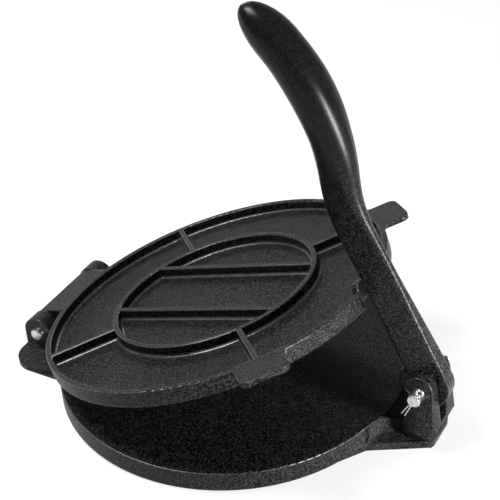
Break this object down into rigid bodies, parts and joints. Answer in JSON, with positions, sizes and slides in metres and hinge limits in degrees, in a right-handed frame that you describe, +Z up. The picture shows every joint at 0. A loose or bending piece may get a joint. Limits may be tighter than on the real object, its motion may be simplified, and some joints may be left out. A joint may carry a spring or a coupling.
{
  "type": "tortilla press",
  "caption": "Round cast-iron tortilla press: flat base, hinged upper plate with raised ribs and lift tabs, and a curved lever in a clevis.",
  "frame": {"origin": "centre of the base's underside, on the table", "axes": "+X from the hinge to the lever's clevis, +Y along the hinge pin, +Z up"},
  "size_m": [0.3313, 0.26, 0.3016],
  "materials": {
    "iron": "seasoned black, satin over fine sand-cast grain",
    "steel": "bright zinc-plated"
  },
  "bodies": {
    "base": {"base": "iron", "hinge_pin": "steel", "lever_pin": "steel", "split_pin_left": "steel", "split_pin_right": "steel"},
    "plate": {"upper_plate": "iron"},
    "lever": {"lever": "iron"}
  },
  "joints": [
    {"name": "plate_hinge", "type": "hinge", "parent": "base", "child": "plate", "pos_m": [-0.1458, 0, 0.018], "axis": [0, -1, 0], "range_deg": [-18.1, 81.9]},
    {"name": "lever_pivot", "type": "hinge", "parent": "base", "child": "lever", "pos_m": [0.155, 0, 0.045], "axis": [0, 1, 0], "range_deg": [-2, 115]}
  ]
}
